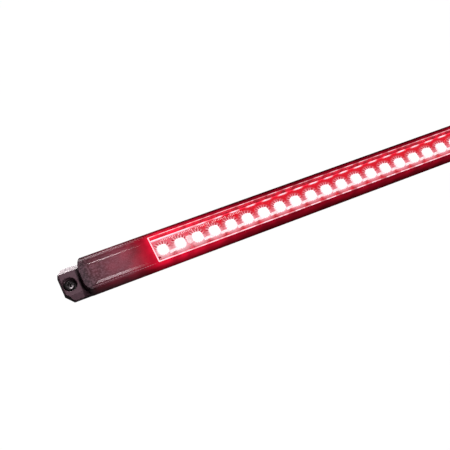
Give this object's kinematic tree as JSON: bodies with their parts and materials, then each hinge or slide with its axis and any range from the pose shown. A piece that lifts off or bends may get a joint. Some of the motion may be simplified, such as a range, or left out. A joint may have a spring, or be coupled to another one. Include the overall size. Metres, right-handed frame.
{
  "type": "third brake light",
  "caption": "Slim high-mounted brake light bar: a red row of lights behind a clear window in a long dark housing, with a screw ear at each end",
  "frame": {"origin": "on the flat rear face that lies against the vehicle, midway between the two screw ears, in line with the screw holes and the row of lights", "axes": "+X along the bar from the left ear to the right ear, +Z out of the lens, +Y across the bar towards the edge with the wider shoulder"},
  "size_m": [0.408, 0.0229, 0.0209],
  "materials": {
    "housing": "fine spark-eroded satin, dark smoked plastic",
    "window": "polished clear strip",
    "back": "matt black moulding",
    "rubber": "matt black rubber",
    "board": "white solder mask",
    "led": "white package with a clear filled cup",
    "resistor": "pale ceramic with tinned ends",
    "diode": "pale moulded body with tinned leads",
    "steel": "dark zinc-plated steel"
  },
  "bodies": {
    "lamp": {"housing": "housing", "lens_window": "window", "back_cover": "back", "inlet_bush": "rubber", "circuit_board": "board", "surge_diode": "diode", "led_01": "led", "led_02": "led", "led_03": "led", "led_04": "led", "led_05": "led", "led_06": "led", "led_07": "led", "led_08": "led", "led_09": "led", "led_10": "led", "led_11": "led", "led_12": "led", "led_13": "led", "led_14": "led", "led_15": "led", "led_16": "led", "led_17": "led", "led_18": "led", "led_19": "led", "led_20": "led", "led_21": "led", "led_22": "led", "led_23": "led", "led_24": "led", "resistor_01": "resistor", "resistor_03": "resistor", "resistor_04": "resistor", "resistor_05": "resistor", "resistor_06": "resistor", "resistor_07": "resistor", "resistor_08": "resistor", "resistor_09": "resistor", "resistor_10": "resistor", "resistor_11": "resistor", "resistor_12": "resistor", "resistor_13": "resistor", "resistor_14": "resistor", "resistor_15": "resistor", "resistor_16": "resistor", "resistor_17": "resistor", "resistor_18": "resistor", "resistor_19": "resistor", "resistor_20": "resistor", "resistor_21": "resistor", "resistor_22": "resistor", "resistor_23": "resistor"},
    "left_washer": {"washer_left": "steel"},
    "left_screw": {"screw_left": "steel"},
    "right_washer": {"washer_right": "steel"},
    "right_screw": {"screw_right": "steel"}
  },
  "joints": [
    {"name": "left_screw_lift", "type": "slide", "parent": "lamp", "child": "left_washer", "axis": [0, 0, 1], "range_m": [0, 0.016]},
    {"name": "left_screw_turn", "type": "hinge", "parent": "left_washer", "child": "left_screw", "pos_m": [-0.1992, 0, 0.0028], "axis": [0, 0, 1], "continuous": true},
    {"name": "right_screw_lift", "type": "slide", "parent": "lamp", "child": "right_washer", "axis": [0, 0, 1], "range_m": [0, 0.016]},
    {"name": "right_screw_turn", "type": "hinge", "parent": "right_washer", "child": "right_screw", "pos_m": [0.1992, 0, 0.0028], "axis": [0, 0, 1], "continuous": true}
  ]
}
